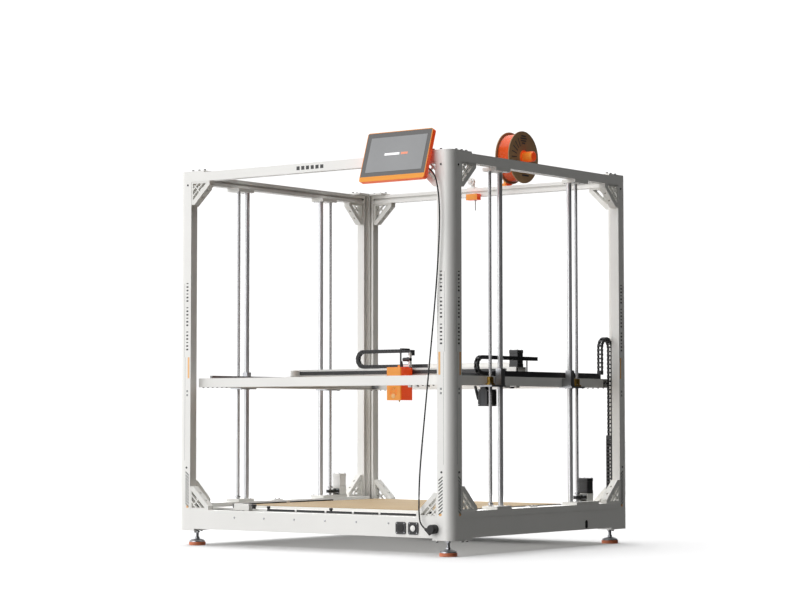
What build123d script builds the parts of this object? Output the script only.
from build123d import *
import math
import os

# Large-format FDM printer: bolted extrusion frame, fixed heated bed, gantry that climbs four
# lead screws, belt-driven beam and toolhead, three cable chains, touchscreen and filament spool.
# Millimetres, +Z up, the user faces the -Y side, lowest point at z = 0.

# ---------------------------------------------------------------- driving dimensions
HALF_WIDTH = 601.5            # frame, outer face, X
HALF_DEPTH = 545.0            # frame, outer face, Y
BASE_BOTTOM = 60.0            # underside of the frame above the floor
FRAME_TOP = 1325.0            # top of the top rails
SHIFT_Y = -12.6               # moves the frame so that screen and spool overhang evenly

POST_SIZE = 58.0              # L-shaped post, outside to inner leg end
LEG = 32.0                    # thickness of a post leg and of a top rail
CORNER_R = 29.0               # rounded outer corner of a post
BEAM_WIDTH = 61.5             # base side beam, X
BEAM_TOP = 147.0
PANEL_DEPTH = 28.0            # base front and back panels, Y
PANEL_TOP = 127.0
WALL = 3.0

SCREW_X, SCREW_Y, SCREW_R = 561.0, 267.0, 6.0
ROD_X, ROD_Y, ROD_R = 566.0, 215.0, 9.0
BLOCK_TOP_BOTTOM = 1281.0     # underside of the upper screw blocks
BLOCK_BASE_TOP = 157.0        # top of the lower screw blocks
MOTOR_Y = 323.0               # axis of a Z motor

DECK_TOP = 133.0
PLATE_TOP = 143.0             # printing surface
BED_HALF_X = 418.0
BED_FRONT, BED_BACK = -390.0, 380.0

GANTRY_BOTTOM, GANTRY_TOP = 560.0, 592.0
GANTRY_X, GANTRY_Y = 540.0, 505.0
SIDE_BEAM = 40.0              # width of the gantry's left and right beams
BEAM_Y = -7.0                 # centre of the crossing beam
BEAM_HALF_Y = 20.0
CROSS_BOTTOM, CROSS_TOP = 604.0, 629.0
RAIL_TOP = 602.0              # top of the rails on the gantry's side beams
SHAFT_Y, SHAFT_Z = -461.0, 576.0   # cross shaft of the Y belts
Y_MOTOR_BOX = (499.0, 539.5, -252.0, -195.0)   # x0, x1, y0, y1 of the Y motor

HEAD_X, HEAD_Y = 29.0, -70.5  # toolhead centre
HEAD_BOTTOM, HEAD_TOP = 514.0, 630.0
FAN_Z = 545.0

SPOOL_X, SPOOL_Y, SPOOL_Z = 130.0, 529.0, 1430.0
SPOOL_R, SPOOL_HALF = 98.0, 31.0

SCREEN_X, SCREEN_WIDTH, SCREEN_HEIGHT, SCREEN_THICK = 397.5, 271.0, 176.5, 24.0
SCREEN_LOW_Y, SCREEN_LOW_Z, SCREEN_TILT = -602.0, 1236.0, 17.8

GAP = 0.3                     # clearance round a turning shaft
RUN = 0.05                    # running fit on a guide rod

# ---------------------------------------------------------------- helpers
os.makedirs("parts", exist_ok=True)


def save(name, *solids):
    """Write one named piece, or one group of equal pieces, in the object's own frame."""
    shapes = [s for item in solids for s in item.solids()]
    moved = [s.moved(Location((0, SHIFT_Y, 0))) for s in shapes]
    whole = moved[0] if len(moved) == 1 else Compound(children=moved)
    export_step(whole, f"parts/{name}.step")
    print(f"{name}: {len(moved)} solid(s)")


def box(x0, x1, y0, y1, z0, z1):
    """Box between two corners, given in any order."""
    size = (abs(x1 - x0), abs(y1 - y0), abs(z1 - z0))
    centre = ((x0 + x1) / 2, (y0 + y1) / 2, (z0 + z1) / 2)
    return Pos(*centre) * Box(*size)


def rod_z(x, y, z0, z1, r):
    """Upright cylinder."""
    return Pos(x, y, (z0 + z1) / 2) * Cylinder(r, z1 - z0)


def rod_x(x0, x1, y, z, r):
    """Cylinder along X."""
    return Pos((x0 + x1) / 2, y, z) * Rot(0, 90, 0) * Cylinder(r, x1 - x0)


def rod_y(x, y0, y1, z, r):
    """Cylinder along Y."""
    return Pos(x, (y0 + y1) / 2, z) * Rot(90, 0, 0) * Cylinder(r, y1 - y0)


def flip(shape, sx, sy):
    """Copy a piece made for the +X +Y quarter into another quarter."""
    if sx < 0:
        shape = shape.mirror(Plane.YZ)
    if sy < 0:
        shape = shape.mirror(Plane.XZ)
    return shape


CORNERS = {"front_left": (-1, -1), "front_right": (1, -1), "back_left": (-1, 1), "back_right": (1, 1)}


# ---------------------------------------------------------------- frame
def post():
    """Corner post of the +X +Y quarter: L profile with round outer corner and two T-slots."""
    x, y = HALF_WIDTH, HALF_DEPTH
    profile = Pos(x - POST_SIZE / 2, y - POST_SIZE / 2) * Rectangle(POST_SIZE, POST_SIZE)
    outer = [v for v in profile.vertices() if v.X > x - 1 and v.Y > y - 1]
    profile = fillet(outer, CORNER_R)
    notch = POST_SIZE - LEG
    inner = Pos(x - POST_SIZE + notch / 2, y - POST_SIZE + notch / 2)
    profile -= inner * Rectangle(notch, notch)
    profile -= Pos(x - 20, y - 20) * Circle(11)
    mid = POST_SIZE - notch / 2
    profile -= Pos(x - mid, y - LEG + 4) * Rectangle(8, 8)
    profile -= Pos(x - mid, y - LEG + 10) * Rectangle(14, 5)
    profile -= Pos(x - LEG + 4, y - mid) * Rectangle(8, 8)
    profile -= Pos(x - LEG + 10, y - mid) * Rectangle(5, 14)
    return extrude(Pos(0, 0, BASE_BOTTOM) * profile, FRAME_TOP - BASE_BOTTOM)


def rail_profile():
    """Top rail section, 32 mm square, with T-slots towards -X (inside) and -Y (below)."""
    section = Rectangle(LEG, LEG)
    section -= Circle(4)
    for spin in (0, 90):
        section -= Rot(0, 0, spin) * Pos(-LEG / 2 + 3, 0) * Rectangle(6, 8)
        section -= Rot(0, 0, spin) * Pos(-LEG / 2 + 7.5, 0) * Rectangle(4, 11)
    return section


def top_rail_right():
    """Rail along Y between two posts, slots inside and below."""
    length = 2 * (HALF_DEPTH - POST_SIZE)
    plane = Plane(origin=(HALF_WIDTH - LEG / 2, length / 2, FRAME_TOP - LEG / 2),
                  x_dir=(1, 0, 0), z_dir=(0, -1, 0))
    return extrude(plane * rail_profile(), length)


def top_rail_back():
    """Rail along X between two posts, slots inside and below."""
    length = 2 * (HALF_WIDTH - POST_SIZE)
    plane = Plane(origin=(-length / 2, HALF_DEPTH - LEG / 2, FRAME_TOP - LEG / 2),
                  x_dir=(0, 1, 0), z_dir=(1, 0, 0))
    return extrude(plane * rail_profile(), length)


PORT_Y, PORT_Z, PORT_WIDE, PORT_TALL = 262.0, 78.5, 10.0, 24.0


def base_beam():
    """Deep side beam of the base, +X side; the belt chamber is open to the screws above."""
    y = HALF_DEPTH - POST_SIZE
    x0, x1 = HALF_WIDTH - BEAM_WIDTH, HALF_WIDTH
    beam = box(x0, x1, -y, y, BASE_BOTTOM, BEAM_TOP)
    beam -= box(x0 + WALL, x1 - WALL, -y, y, BASE_BOTTOM + WALL, 92)
    beam -= box(x0 + WALL, x1 - WALL, -y, y, 95, BEAM_TOP - WALL)
    beam -= box(x1 - 1.2, x1 + 1, -y, y, 123.8, 125.2)
    for level in (70, 108):
        beam -= box(x0 - 1, x0 + WALL + 1, -y, y, level, level + 8)
    port = Pos(x1 - WALL / 2, PORT_Y, PORT_Z) * Rot(0, 90, 0) * Box(PORT_TALL, PORT_WIDE, WALL + 1)
    beam -= fillet(port.edges().filter_by(Axis.X), PORT_WIDE / 2 - 0.1)
    for side in (-1, 1):
        beam -= rod_z(SCREW_X, side * SCREW_Y, 96, BEAM_TOP + 1, SCREW_R + GAP)
        beam -= rod_z(ROD_X, side * ROD_Y, BEAM_TOP - WALL - 1, BEAM_TOP + 1, ROD_R)
    return beam


def base_panel(side):
    """Folded channel that closes the base at the front (-1) or the back (+1)."""
    x = HALF_WIDTH - POST_SIZE
    outer = side * HALF_DEPTH
    inner = side * (HALF_DEPTH - PANEL_DEPTH)
    panel = box(-x, x, inner, outer, BASE_BOTTOM, PANEL_TOP)
    return panel - box(-x, x, inner - side, outer - side * WALL, BASE_BOTTOM + WALL, PANEL_TOP - WALL)


def gusset():
    """Cast lattice bracket in the XZ plane: corner at the origin, legs along +X and -Z."""
    leg, tall, thick, depth = 86.0, 82.0, 7.0, 26.0
    outline = Polyline((0, 0), (leg, 0), (leg, -14), (14, -tall), (0, -tall), close=True)
    plate = make_face(outline)
    void = Polyline((thick, -thick), (leg - 16, -thick), (thick, -tall + 16), close=True)
    hole = make_face(void)
    face = Plane(origin=(0, 0, 0), x_dir=(1, 0, 0), z_dir=(0, -1, 0))
    ring = extrude(face * (plate - hole), -depth)
    bars = Sketch()
    for step in (22, 44):
        bars += Pos(thick + step / 2, -thick - step / 2) * Rot(0, 0, 45) * Rectangle(step * 1.6, 4)
    bars += Pos(30, -30) * Rot(0, 0, -45) * Rectangle(46, 4)
    web = extrude(face * (bars & plate), -8)
    bracket = ring + web
    for x in (30, 56):
        cut = Plane(origin=(x, depth / 2, x - leg + 6), z_dir=(1, 0, -1)) * Circle(4)
        bracket -= extrude(cut, 16, both=True)
    return bracket.solids()[0]


def gussets():
    """One bracket along X and one along Y at every corner, above and below."""
    made = []
    along_x = Pos(-(HALF_WIDTH - POST_SIZE), -HALF_DEPTH + 1, 0) * gusset()
    along_y = Pos(HALF_WIDTH - 1, -(HALF_DEPTH - POST_SIZE), 0) * Rot(0, 0, 90) * gusset()
    for sx, sy in CORNERS.values():
        made.append(Pos(0, 0, FRAME_TOP - LEG) * flip(along_x, -sx, -sy))
        made.append(Pos(0, 0, FRAME_TOP - LEG) * flip(along_y, sx, -sy))
        made.append(Pos(0, 0, PANEL_TOP) * flip(along_x, -sx, -sy).mirror(Plane.XY))
        made.append(Pos(0, 0, BEAM_TOP) * flip(along_y, sx, -sy).mirror(Plane.XY))
    return made


def corner_plate(reach_x, reach_y, z0, z1):
    """L-shaped plate over the end of a post, +X +Y quarter, with the post's round corner."""
    x, y = HALF_WIDTH, HALF_DEPTH
    plate = Pos(x - reach_x / 2, y - reach_y / 2) * Rectangle(reach_x, reach_y)
    outer = [v for v in plate.vertices() if v.X > x - 1 and v.Y > y - 1]
    plate = fillet(outer, CORNER_R)
    arm = POST_SIZE
    plate -= Pos(x - reach_x, y - reach_y) * Rectangle(2 * (reach_x - arm), 2 * (reach_y - arm))
    return extrude(Pos(0, 0, z0) * plate, z1 - z0)


def top_plate():
    """Upper corner plate with its five button-head screws."""
    plate = corner_plate(118, 118, FRAME_TOP, FRAME_TOP + 6)
    x, y = HALF_WIDTH, HALF_DEPTH
    for dx, dy in ((16, 52), (16, 82), (16, 108), (52, 16), (82, 16), (108, 16)):
        plate += rod_z(x - dx, y - dy, FRAME_TOP + 6, FRAME_TOP + 9, 4.5)
    return plate


FOOT_INSET = 49.5
STUD_R = 6.0


def foot_plate():
    """Lower corner plate; the foot's stud turns in its threaded hole."""
    plate = corner_plate(78, 118, BASE_BOTTOM - 7, BASE_BOTTOM)
    x, y = HALF_WIDTH, HALF_DEPTH
    plate -= rod_z(x - FOOT_INSET, y - FOOT_INSET, 40, 70, STUD_R + GAP)
    for dx, dy in ((16, 82), (16, 108), (70, 16)):
        plate += rod_z(x - dx, y - dy, BASE_BOTTOM - 11, BASE_BOTTOM - 7, 4.5)
    return plate


def foot():
    """Levelling foot: rubber disc, steel dome and threaded stud with a hexagon."""
    x, y = HALF_WIDTH - FOOT_INSET, HALF_DEPTH - FOOT_INSET
    profile = make_face(Polyline((0, 12), (28, 12), (28, 16), (22, 23), (12, 28), (0, 28), close=True))
    dome = revolve(Plane.XZ * profile, Axis.Z)
    metal = dome + extrude(Pos(0, 0, 28) * RegularPolygon(9, 6), 8)
    metal += Pos(0, 0, 62) * Cylinder(STUD_R, 64)
    disc = Pos(0, 0, 6) * Cylinder(30, 12)
    disc = fillet(disc.edges().filter_by(GeomType.CIRCLE), 2)
    return Pos(x, y, 0) * metal, Pos(x, y, 0) * disc


# ---------------------------------------------------------------- bed and base
def bed_deck():
    """Sheet-metal deck between the side beams, with a pocket the Y motor sinks into."""
    x = HALF_WIDTH - BEAM_WIDTH
    deck = box(-x, x, -450, HALF_DEPTH - PANEL_DEPTH, DECK_TOP - 7, DECK_TOP)
    deck -= box(-x + WALL, x - WALL, -447, 514, DECK_TOP - 8, DECK_TOP - 3)
    for y in (-240, 0, 240):
        deck += box(-x, x, y - 15, y + 15, DECK_TOP - 30, DECK_TOP - 3)
    deck += box(-404, -334, -468, -450, DECK_TOP - 7, DECK_TOP + 14)
    x0, x1, y0, y1 = Y_MOTOR_BOX
    return deck - box(x0 - 5, x1 + 1, y0 - 5, y1 + 5, DECK_TOP - 9, DECK_TOP + 1)


def build_plates():
    """Four heated plates side by side."""
    middle = (BED_FRONT + BED_BACK) / 2
    made = []
    for x0, x1 in ((-BED_HALF_X, -1), (1, BED_HALF_X)):
        for y0, y1 in ((BED_FRONT, middle - 1), (middle + 1, BED_BACK)):
            plate = box(x0, x1, y0, y1, DECK_TOP, PLATE_TOP)
            made.append(chamfer(plate.edges().group_by(Axis.Z)[-1], 0.5))
    return made


def edge_strips():
    """Black insulation strips along the front and the sides of the bed."""
    front = box(-262, 402, -454, -450, DECK_TOP - 7, DECK_TOP + 0.5)
    left = box(-BED_HALF_X - 10, -BED_HALF_X - 2, -446, 112, DECK_TOP, PLATE_TOP + 4.5)
    right = box(BED_HALF_X + 2, BED_HALF_X + 10, -446, BED_BACK, DECK_TOP, PLATE_TOP - 2)
    return [front, left, right]


def electronics():
    """Control unit and power supply hung under the deck."""
    unit = box(-180, 120, 300, 500, 72, 122)
    supply = box(150, 370, 300, 420, 76, 126)
    for y in (440, 460, 480):
        unit -= box(-170, -120, y, y + 8, 110, 123)
    hangers = [box(x - 6, x + 6, 320, 480, 122, DECK_TOP - 3) for x in (-150, 90)]
    for hanger in hangers:
        unit += hanger
    return [unit, supply]


SOCKETS_X = (395.5, 447.0)
PLUG_X, PLUG_Z = 534.0, 90.0


def panel_socket(x):
    """Square flanged panel socket on the front panel."""
    y = -HALF_DEPTH
    flange = box(x - 20.5, x + 20.5, y - 3, y, PLUG_Z - 20, PLUG_Z + 20)
    flange = fillet(flange.edges().filter_by(Axis.Y), 6)
    barrel = rod_y(x, y, y + 22, PLUG_Z, 12)
    return flange + barrel - rod_y(x, y - 4, y + 16, PLUG_Z, 9)


def power_inlet():
    """Fused mains inlet with rocker switch on the back panel."""
    y = HALF_DEPTH
    body = box(400, 462, y - 34, y + 3, 68, 116)
    body -= box(408, 434, y - 14, y + 4, 76, 108)
    body -= box(440, 456, y - 6, y + 4, 80, 104)
    body += box(442, 454, y - 6, y + 1, 82, 102)
    return body


def cut_panels():
    """Base panels with the openings for the sockets and the inlet."""
    front, back = base_panel(-1), base_panel(1)
    for x in SOCKETS_X:
        front -= rod_y(x, -HALF_DEPTH - 1, -HALF_DEPTH + 8, PLUG_Z, 12)
    front -= rod_y(PLUG_X, -HALF_DEPTH - 1, -HALF_DEPTH + 8, PLUG_Z, 9)
    back -= box(400, 462, HALF_DEPTH - 8, HALF_DEPTH + 1, 68, 116)
    return front, back


# ---------------------------------------------------------------- Z drive
def end_blocks():
    """Screw and rod blocks: four under the top rails, four on the base beams."""
    made = []
    for sx, sy in CORNERS.values():
        upper = box(545, HALF_WIDTH, 201, 286, BLOCK_TOP_BOTTOM, FRAME_TOP - LEG)
        upper -= rod_z(SCREW_X, SCREW_Y, BLOCK_TOP_BOTTOM - 1, FRAME_TOP - LEG + 1, SCREW_R + GAP)
        upper -= rod_z(ROD_X, ROD_Y, BLOCK_TOP_BOTTOM - 1, FRAME_TOP - LEG + 1, ROD_R)
        made.append(flip(upper, sx, sy))
        y1 = 345 if sy > 0 else 286
        lower = box(540, HALF_WIDTH, 201, y1, BEAM_TOP, BLOCK_BASE_TOP)
        lower -= rod_z(SCREW_X, SCREW_Y, BEAM_TOP - 1, BLOCK_BASE_TOP + 1, SCREW_R + GAP)
        lower -= rod_z(ROD_X, ROD_Y, BEAM_TOP - 1, BLOCK_BASE_TOP + 1, ROD_R)
        if sy > 0:
            stand = box(542, 580, 304, 342, BLOCK_BASE_TOP, 184)
            stand -= box(545, 577, 300, 339, BLOCK_BASE_TOP, 181)
            stand -= rod_z(SCREW_X, MOTOR_Y, 180, 185, 8)
            lower += stand
        made.append(flip(lower, sx, sy))
    return made


def guide_rods():
    """Four hardened rods, pressed into the blocks above and below."""
    rod = rod_z(ROD_X, ROD_Y, BEAM_TOP - WALL, FRAME_TOP - LEG, ROD_R)
    return [flip(rod, sx, sy) for sx, sy in CORNERS.values()]


def lead_screw(sy):
    """Lead screw with its sync pulley inside the beam; rear ones carry the drive pulley too."""
    screw = rod_z(SCREW_X, SCREW_Y, 97, 1291, SCREW_R)
    screw += rod_z(SCREW_X, SCREW_Y, 100, 114, 13)
    if sy > 0:
        screw += rod_z(SCREW_X, SCREW_Y, 164, 166, 15)
        screw += rod_z(SCREW_X, SCREW_Y, 166, 176, 13)
        screw += rod_z(SCREW_X, SCREW_Y, 176, 178, 15)
    return screw


def z_motor():
    """Square stepper standing shaft-down on its stand, +X side."""
    x = SCREW_X
    motor = box(x - 19, x + 19, MOTOR_Y - 19, MOTOR_Y + 19, 184, 238)
    motor = chamfer(motor.edges().filter_by(Axis.Z), 3)
    return motor - rod_z(x, MOTOR_Y, 183, 200, 5)


def motor_pulley():
    """Motor shaft and its toothed pulley."""
    pulley = rod_z(SCREW_X, MOTOR_Y, 162, 199, 4)
    pulley += rod_z(SCREW_X, MOTOR_Y, 166, 176, 13)
    for z in (164, 176):
        pulley += rod_z(SCREW_X, MOTOR_Y, z, z + 2, 15)
    return pulley


def belt(x, y0, y1, z0, z1, r):
    """Closed toothed belt round two equal pulleys set along Y."""
    inner = r + GAP
    outer = inner + 1.2
    loop = SlotCenterToCenter(y1 - y0, 2 * outer) - SlotCenterToCenter(y1 - y0, 2 * inner)
    turned = Rot(0, 0, 90) * loop
    return extrude(Pos(x, (y0 + y1) / 2, z0) * turned, z1 - z0)


def z_belts():
    """Drive belt and hidden sync belt on each side."""
    made = []
    for side in (-1, 1):
        drive = belt(SCREW_X, SCREW_Y, MOTOR_Y, 166.5, 175.5, 13)
        sync = belt(SCREW_X, -SCREW_Y, SCREW_Y, 101, 113, 13)
        made += [flip(drive, side, 1), flip(sync, side, 1)]
    return made


# ---------------------------------------------------------------- gantry
def gantry_beams():
    """Closed rectangle of four tubes."""
    x, y = GANTRY_X, GANTRY_Y
    made = []
    for side in (-1, 1):
        tube = box(-x, x, side * (y - 32), side * y, GANTRY_BOTTOM, GANTRY_TOP)
        core = box(-x - 1, x + 1, side * (y - 29), side * (y - 3), GANTRY_BOTTOM + 3, GANTRY_TOP - 3)
        made.append(tube - core)
    for side in (-1, 1):
        tube = box(side * (x - SIDE_BEAM), side * x, -y + 32, y - 32, GANTRY_BOTTOM, GANTRY_TOP)
        core = box(side * (x - SIDE_BEAM + 3), side * (x - 3), -y + 31, y - 31,
                   GANTRY_BOTTOM + 3, GANTRY_TOP - 3)
        made.append(tube - core)
    return made


def y_rails():
    """Linear rails on the gantry's side beams."""
    rail = box(506, 518, -470, 470, GANTRY_TOP, RAIL_TOP)
    for side in (-1, 1):
        rail -= box(512 + side * 6, 512 + side * 4.5, -471, 471, 595.5, 598.5)
    return [rail, rail.mirror(Plane.YZ)]


def bearing_block():
    """Rod bearing on the shelf that carries the lead nut, +X +Y quarter."""
    block = box(ROD_X - 11, ROD_X + 13, ROD_Y - 11, ROD_Y + 11, 556, 618)
    block = chamfer(block.edges().filter_by(Axis.Z).group_by(Axis.X)[-1], 2)
    shelf = box(GANTRY_X, SCREW_X + 20, ROD_Y - 11, SCREW_Y + 21, 556, 562)
    tongue = box(GANTRY_X - 12, GANTRY_X, ROD_Y - 11, SCREW_Y + 21, 556, GANTRY_BOTTOM)
    web = box(GANTRY_X, ROD_X - 11, ROD_Y - 11, ROD_Y - 5, 562, GANTRY_TOP - 2)
    block += shelf + tongue + web
    block -= rod_z(ROD_X, ROD_Y, 550, 620, ROD_R + RUN)
    return block - rod_z(SCREW_X, SCREW_Y, 550, 570, SCREW_R + 2)


def lead_nut():
    """Flanged brass nut."""
    nut = rod_z(SCREW_X, SCREW_Y, 562, 567, 16) + rod_z(SCREW_X, SCREW_Y, 567, 589, 11)
    return nut - rod_z(SCREW_X, SCREW_Y, 560, 590, SCREW_R + GAP)


def y_motor():
    """Stepper under the right beam: end bells with a laminated middle, shaft along X."""
    x0, x1, y0, y1 = Y_MOTOR_BOX
    z0, z1, bell = 491.0, 548.0, 9.0
    motor = box(x0 + bell, x1 - bell, y0 + 1.5, y1 - 1.5, z0 + 1.5, z1 - 1.5)
    motor += box(x0, x0 + bell, y0, y1, z0, z1) + box(x1 - bell, x1, y0, y1, z0, z1)
    return motor + box(x0 + 4, x0 + 26, y0 + 8, y1 - 8, z1 - 2, GANTRY_BOTTOM)


def chain_tray():
    """Open tray on the right beam in which the Y chain lies."""
    tray = box(521.2, 539.8, -190, 460, GANTRY_TOP, 611)
    return tray - box(522.7, 538.3, -191, 461, GANTRY_TOP + 2, 612)


def y_shaft():
    """Cross shaft behind the front beam that drives both Y belts."""
    shaft = rod_x(-497, 497, SHAFT_Y, SHAFT_Z, 4)
    for side in (-1, 1):
        shaft += rod_x(side * 487 - 7, side * 487 + 7, SHAFT_Y, SHAFT_Z, 10)
    return shaft


def shaft_hangers():
    """Bearing brackets of the cross shaft, on the back of the front beam."""
    made = []
    for x in (-470, 0, 470):
        bracket = box(x - 6, x + 6, 32 - GANTRY_Y, SHAFT_Y + 9, SHAFT_Z - 8, SHAFT_Z + 8)
        made.append(bracket - rod_x(x - 7, x + 7, SHAFT_Y, SHAFT_Z, 4 + GAP))
    return made


# ---------------------------------------------------------------- crossing beam
def cross_beam():
    """Beam along X with its chain tray on top."""
    y0, y1 = BEAM_Y - BEAM_HALF_Y, BEAM_Y + BEAM_HALF_Y
    beam = box(-500, 474, y0, y1, CROSS_BOTTOM, CROSS_TOP)
    beam -= box(-501, 475, y0 + WALL, y1 - WALL, CROSS_BOTTOM + WALL, CROSS_TOP - WALL)
    tray = box(110, 472, -8.2, 12.2, CROSS_TOP, 644)
    tray -= box(109, 473, -6.7, 10.7, CROSS_TOP + 1, 645)
    return beam, tray


def x_rail():
    """Linear rail on the front of the crossing beam."""
    rail = box(-462, 466, -36, BEAM_Y - BEAM_HALF_Y, 609, 622)
    for side in (-1, 1):
        rail -= box(-463, 467, -33.5, -30.5, 615.5 + side * 6.5, 615.5 + side * 5)
    return rail


def end_plates():
    """Carriages at both ends of the crossing beam, riding the side rails."""
    right = box(502, 520.6, BEAM_Y - 38, BEAM_Y + 38, 596, CROSS_BOTTOM)
    right += box(455, 520.6, BEAM_Y - 38, BEAM_Y + 38, RAIL_TOP + GAP, CROSS_BOTTOM)
    right -= box(506 - GAP, 518 + GAP, -100, 100, 590, RAIL_TOP + GAP)
    left = right.mirror(Plane.YZ)
    motor_stand = box(476, 516, 9, 13, CROSS_BOTTOM, 627) + box(476, 516, -47, -43, CROSS_BOTTOM, 627)
    motor_stand += box(476, 516, -47, 13, 624, 627)
    motor_stand -= rod_z(496, -17, 623, 628, 8)
    cap = rod_z(-482, -44, CROSS_BOTTOM, 626, 14) + box(-496, -468, -44, -27, CROSS_BOTTOM, 626)
    arm = box(517, 520.6, 13, 17, CROSS_BOTTOM, 663) + box(517, 521.8, 13, 60, 655, 663)
    return [left + cap, right + motor_stand + arm]


def x_motor():
    """Stepper that drives the toolhead belt, standing on its stand."""
    motor = box(478, 514, -35, 1, 627, 686)
    motor = chamfer(motor.edges().filter_by(Axis.Z), 3)
    return motor + rod_z(496, -17, 612, 627, 6)


# ---------------------------------------------------------------- toolhead
def x_carriage():
    """Bearing carriage on the front rail with the toolhead's back plate."""
    block = box(HEAD_X - 28, HEAD_X + 28, -47, -30, 602.5, 628.5)
    block -= box(HEAD_X - 29, HEAD_X + 29, -36 - GAP, -26, 609 - GAP, 622 + GAP)
    plate = box(HEAD_X - 30, HEAD_X + 30, -52, -47, 540, 628.5)
    arm = box(HEAD_X - 12, HEAD_X - 8, -52, -47, 628.5, 700)
    arm += box(HEAD_X - 12, HEAD_X - 2, -52, -7, 694, 700)
    return block + plate + arm


def toolhead_housing():
    """Orange cover, open towards the back plate and below, with the fan's opening and pin."""
    x0, x1, y0, y1 = HEAD_X - 33, HEAD_X + 33, -105, -38
    cover = box(x0, x1, y0, y1, HEAD_BOTTOM, HEAD_TOP)
    front = cover.edges().filter_by(Axis.Z).group_by(Axis.Y)[0]
    cover = fillet(front, 6)
    cover -= box(x0 + 2.5, x1 - 2.5, y0 + 2.5, y1 + 1, HEAD_BOTTOM - 1, HEAD_TOP - 2.5)
    cover -= box(x0 + 2.5, x1 - 2.5, -52, y1 + 1, HEAD_BOTTOM, HEAD_TOP + 1)
    cover -= rod_y(HEAD_X, y0 - 1, y0 + 4, FAN_Z, 18)
    cover += box(x0 + 2, x1 - 2, -92.4, -90.4, FAN_Z - 6, FAN_Z + 6)
    return cover + rod_y(HEAD_X, -101, -92, FAN_Z, 2.5)


def hotend():
    """Heat sink, heater block and nozzle."""
    sink = rod_z(HEAD_X, HEAD_Y, 545, 590, 11)
    for z in range(549, 588, 5):
        sink -= rod_z(HEAD_X, HEAD_Y, z, z + 2.5, 12) - rod_z(HEAD_X, HEAD_Y, z - 1, z + 4, 5)
    block = box(HEAD_X - 12, HEAD_X + 12, HEAD_Y - 9, HEAD_Y + 9, 521, 534)
    neck = rod_z(HEAD_X, HEAD_Y, 534, 545, 3)
    tip = Pos(HEAD_X, HEAD_Y, 514) * Rot(180, 0, 0) * Cone(5.5, 1.2, 14)
    bracket = box(HEAD_X - 11, HEAD_X + 11, HEAD_Y, -52, 583, 590)
    return sink + block + neck + tip + bracket


def toolhead_fan():
    """Fan wheel behind the round opening."""
    wheel = rod_y(HEAD_X, -101, -93, FAN_Z, 7)
    for k in range(7):
        blade = Pos(0, 0, 11) * Rot(0, 0, 35) * Box(8, 1.2, 10)
        wheel += Pos(HEAD_X, -97, FAN_Z) * Rot(0, k * 360 / 7, 0) * blade
    wheel += rod_y(HEAD_X, -100, -94, FAN_Z, 17) - rod_y(HEAD_X, -101, -93, FAN_Z, 15.4)
    return wheel - rod_y(HEAD_X, -102, -92, FAN_Z, 2.5 + GAP)


# ---------------------------------------------------------------- cable chains
def chain(length_low, length_up, radius, thick, width, pitch=13.0):
    """U-shaped chain in the XZ plane, width along Y, bend at -X, lower run centred on z = 0.

    The bend's axis is at x = 0. Slots on the outside mark the links, and each link is hollow."""
    outer = radius + thick / 2
    inner = radius - thick / 2
    bend = Circle(outer) - Circle(inner)
    bend &= Pos(-outer, 0) * Rectangle(2 * outer, 2 * outer + 2)
    low = Pos(length_low / 2, -radius) * Rectangle(length_low, thick)
    up = Pos(length_up / 2, radius) * Rectangle(length_up, thick)
    body = extrude(Plane.XZ * (bend + low + up), width / 2, both=True)
    cut = 1.4
    half_port = width / 2 - 3
    slots, ports = [], []
    for side, length in ((-1, length_low), (1, length_up)):
        skin = side * outer
        for k in range(1, int(length / pitch)):
            slots.append(box(k * pitch, k * pitch + 2, -width, width, skin - side * cut, skin))
            middle = (k - 0.5) * pitch + 2
            ports.append(box(middle - 4, middle + 4, -half_port, half_port, side * inner, skin))
    count = max(3, round(math.pi * radius / pitch))
    for k in range(1, count):
        angle = 90 + 180 * k / count
        slots.append(Rot(0, -angle, 0) * box(outer - cut, outer + 1, -width, width, -1, 1))
    return body - slots - ports


def x_chain():
    """Loop on the crossing beam, bend towards -X."""
    loop = chain(468, 205, 30, 13, 14)
    return Pos(-188, 2, 666.5 + 0.5) * loop


def y_chain():
    """Loop in the right beam's tray, bend towards the front."""
    loop = chain(511, 331, 27, 13, 14)
    return Pos(530.5, -276, 628.7) * Rot(0, 0, 90) * loop


Z_CHAIN_X, Z_CHAIN_Y, Z_CHAIN_Z = 555.5, 465.0, 703.0


def z_chain():
    """Loop beside the back right post, bend upwards, long leg towards the post."""
    loop = chain(96, 353, 33, 16, 19)
    return Pos(Z_CHAIN_X, Z_CHAIN_Y, Z_CHAIN_Z) * Rot(0, 0, 90) * Rot(0, 90, 0) * loop


def z_chain_guide():
    """Fixed lower links on the base beam, hollow so that the moving leg slides into them."""
    guide = box(543.8, 567.2, 487.2, 508.8, BEAM_TOP, 388)
    guide -= box(545.5, 565.5, 489.2, 510, BEAM_TOP + 3, 389)
    for k in range(17):
        guide -= box(548, 563, 480, 495, 158 + 13 * k, 165 + 13 * k)
    return guide


# ---------------------------------------------------------------- screen, spool, filament path
def on_screen(shape):
    """Place a piece drawn flat (X across, Y up the glass, Z towards the user) on the screen."""
    plane = Plane(origin=(SCREEN_X, SCREEN_LOW_Y, SCREEN_LOW_Z), x_dir=(1, 0, 0),
                  z_dir=(0, -math.cos(math.radians(SCREEN_TILT)), math.sin(math.radians(SCREEN_TILT))))
    return plane.location * shape


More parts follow.
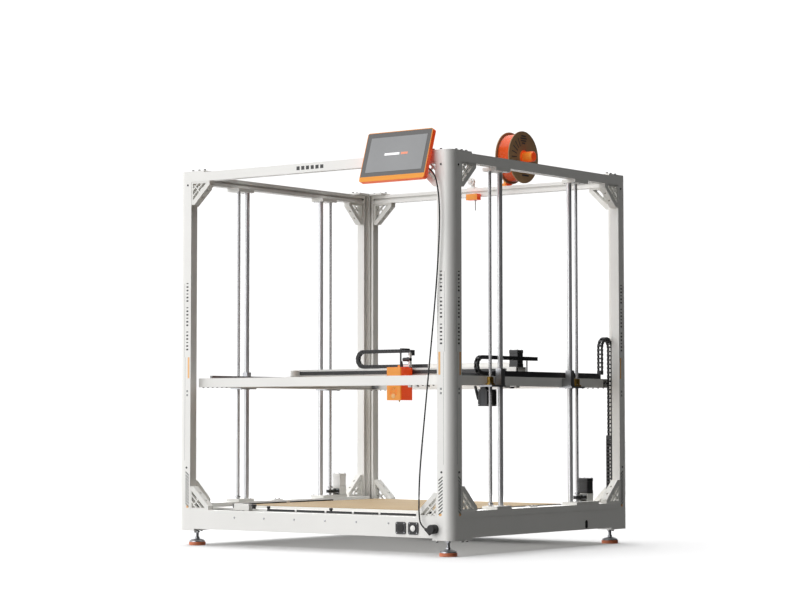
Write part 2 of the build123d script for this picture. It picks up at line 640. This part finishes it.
def screen_housing():
    """Orange shell with raised lip round the glass and the cable gland behind."""
    w, h, t = SCREEN_WIDTH / 2, SCREEN_HEIGHT, SCREEN_THICK
    shell = box(-w, w, 0, h, -t, 0)
    shell = fillet(shell.edges().filter_by(Axis.Z), 8)
    shell = chamfer(shell.faces().sort_by(Axis.Z)[0].edges(), 7)
    shell -= box(-w + 2, w - 3, 17, h - 2, -3, 1)
    a, b = Vector(*CABLE_POINTS[0]), Vector(*CABLE_POINTS[1])
    gland = extrude(Plane(origin=a, z_dir=(a - b).normalized()) * Circle(5), 26)
    return on_screen(shell) + gland


def screen_glass():
    """Front glass."""
    w, h = SCREEN_WIDTH / 2, SCREEN_HEIGHT
    return on_screen(box(-w + 2, w - 3, 17, h - 2, -3, -0.4))


def screen_bracket():
    """Steel arm from the top rail to the back of the screen."""
    x, y = SCREEN_X, -HALF_DEPTH
    plate = box(x - 45, x + 45, y - 3, y, FRAME_TOP - LEG, FRAME_TOP)
    arm = box(x - 30, x + 30, y - 46, y - 3, 1296, 1322)
    screen = on_screen(box(-200, 200, -50, 400, -SCREEN_THICK, 200))
    return plate + (arm - screen)


def spool():
    """Cardboard spool: two flanges and a core."""
    x0, x1 = SPOOL_X - SPOOL_HALF, SPOOL_X + SPOOL_HALF
    y, z = SPOOL_Y, SPOOL_Z
    reel = rod_x(x0, x0 + 4, y, z, SPOOL_R) + rod_x(x1 - 4, x1, y, z, SPOOL_R) + rod_x(x0, x1, y, z, 40)
    reel -= rod_x(x0 - 1, x1 + 1, y, z, 26)
    return reel


def spool_winding():
    """Filament wound on the core."""
    x0, x1 = SPOOL_X - SPOOL_HALF + 4, SPOOL_X + SPOOL_HALF - 4
    ring = rod_x(x0, x1, SPOOL_Y, SPOOL_Z, 88) - rod_x(x0 - 1, x1 + 1, SPOOL_Y, SPOOL_Z, 40)
    return ring


def spool_holder():
    """Stand on the back top rail with the hub that carries the spool and its end knob."""
    y, z = SPOOL_Y, SPOOL_Z
    foot = box(62, 94, 513, 545, FRAME_TOP, FRAME_TOP + 6)
    web = box(84, 94, 507, 551, FRAME_TOP + 6, z) + rod_x(84, 94, y, z, 22)
    hub = rod_x(94, SPOOL_X + SPOOL_HALF + 3, y, z, 25.4)
    knob = rod_x(SPOOL_X + SPOOL_HALF + 3, 208, y, z, 19)
    knob = fillet(knob.edges().sort_by(Axis.X)[-1], 5)
    return foot + web + hub + knob


def filament_guide():
    """Wheel fork on top of the back rail and run-out sensor with its tube below it."""
    fork = box(-92, -60, 516, 544, FRAME_TOP, FRAME_TOP + 5) + box(-82, -68, 530, 536, FRAME_TOP + 5, 1362)
    fork += rod_y(-75, 513, 530, 1352, 4)
    sensor = box(-76, -25, 487, 513, 1278, 1301)
    tube = rod_z(-41, 500, 1238, 1278, 2.2)
    return [fork, sensor + tube]


def guide_wheel():
    """Grooved wheel on the fork's pin."""
    half = Polyline((4.3, -4), (14, -4), (11, 0), (14, 4), (4.3, 4), close=True)
    wheel = revolve(Plane.XZ * make_face(half), Axis.Z)
    return Pos(-75, 522, 1352) * Rot(90, 0, 0) * wheel


# ---------------------------------------------------------------- screen cable
CABLE_R = 2.5
CABLE_POINTS = [
    (516, -558, 1272), (534, -559, 1262), (550, -559, 1238), (559, -558, 1196), (563.5, -557, 1140),
    (563, -556.5, 1075), (557, -556, 975), (543, -556, 820), (513, -556, 560), (494, -556, 395),
    (484, -556.5, 300), (480, -557, 240), (479, -558, 187), (480, -559, 138), (486, -560, 103),
    (507, -560, 90),
]


def bend_radius(points):
    """Largest common radius for tangent arcs between the runs."""
    best = 1e9
    for a, b, c in zip(points, points[1:], points[2:]):
        u, v = Vector(*b) - Vector(*a), Vector(*c) - Vector(*b)
        turn = math.radians(u.get_angle(v))
        if turn > 1e-4:
            best = min(best, 0.45 * min(u.length, v.length) / math.tan(turn / 2))
    return best


def screen_cable():
    """Round cable from the screen's gland down to the plug."""
    radius = bend_radius(CABLE_POINTS)
    path = FilletPolyline(*CABLE_POINTS, radius=radius)
    start = Plane(origin=path @ 0, z_dir=path % 0)
    tube = sweep(start * Circle(CABLE_R), path)
    error = tube.volume / (math.pi * CABLE_R ** 2 * path.length) - 1
    print(f"cable: radius {radius:.1f} length {path.length:.1f} volume error {error:.5f}")
    return tube


def screen_plug():
    """Round right-angle plug in the front panel's right socket."""
    y = -HALF_DEPTH
    head = rod_y(PLUG_X, y - 26, y, PLUG_Z, 15.3)
    head = fillet(head.edges().sort_by(Axis.Y)[0], 4)
    pin = rod_y(PLUG_X, y, y + 14, PLUG_Z, 9)
    a, b = Vector(*CABLE_POINTS[-2]), Vector(*CABLE_POINTS[-1])
    way = (b - a).normalized()
    sleeve = Plane(origin=b, z_dir=way)
    relief = extrude(sleeve * Circle(4), 12) + loft([sleeve * Circle(4), sleeve.offset(24) * Circle(9)])
    return head + pin + relief


# ---------------------------------------------------------------- write the pieces
if __name__ == "__main__":
    for name, (sx, sy) in CORNERS.items():
        save(f"post_{name}", flip(post(), sx, sy))
        metal, disc = foot()
        save(f"foot_{name}", flip(metal, sx, sy), flip(disc, sx, sy))
        save(f"lead_screw_{name}", flip(lead_screw(sy), sx, sy))
    back_rail, right_rail = top_rail_back(), top_rail_right()
    save("top_rails_front_back", back_rail.mirror(Plane.XZ), back_rail)
    save("top_rails_left_right", right_rail.mirror(Plane.YZ), right_rail)
    save("base_beam_left", base_beam().mirror(Plane.YZ))
    save("base_beam_right", base_beam())
    front, back = cut_panels()
    save("base_panel_front", front)
    save("base_panel_back", back)
    save("corner_gussets", *gussets())
    save("corner_plates", *[flip(top_plate(), sx, sy) for sx, sy in CORNERS.values()],
         *[flip(foot_plate(), sx, sy) for sx, sy in CORNERS.values()])
    save("bed_deck", bed_deck())
    save("build_plates", *build_plates())
    save("bed_edge_strips", *edge_strips())
    save("electronics", *electronics())
    save("panel_connectors", *[panel_socket(x) for x in SOCKETS_X], power_inlet())
    save("z_rods", *guide_rods())
    save("z_end_blocks", *end_blocks())
    save("z_motors", z_motor().mirror(Plane.YZ), z_motor())
    save("z_pulley_left", motor_pulley().mirror(Plane.YZ))
    save("z_pulley_right", motor_pulley())
    save("z_belts", *z_belts())
    save("gantry_beams", *gantry_beams())
    save("y_rails", *y_rails())
    save("bearing_blocks", *[flip(bearing_block(), sx, sy) for sx, sy in CORNERS.values()],
         *shaft_hangers())
    save("lead_nuts", *[flip(lead_nut(), sx, sy) for sx, sy in CORNERS.values()])
    save("y_motor", y_motor())
    save("y_chain_tray", chain_tray())
    save("y_shaft", y_shaft())
    save("x_beam", *cross_beam())
    save("x_rail", x_rail())
    save("x_end_plates", *end_plates())
    save("x_motor", x_motor())
    save("x_carriage", x_carriage())
    save("toolhead_housing", toolhead_housing())
    save("hotend", hotend())
    save("toolhead_fan", toolhead_fan())
    save("x_chain", x_chain())
    save("y_chain", y_chain())
    save("z_chain", z_chain())
    save("z_chain_guide", z_chain_guide())
    save("screen_housing", screen_housing())
    save("screen_glass", screen_glass())
    save("screen_bracket", screen_bracket())
    save("spool", spool())
    save("spool_winding", spool_winding())
    save("spool_holder", spool_holder())
    save("filament_guide", *filament_guide())
    save("guide_wheel", guide_wheel())
    save("screen_cable", screen_cable())
    save("screen_plug", screen_plug())
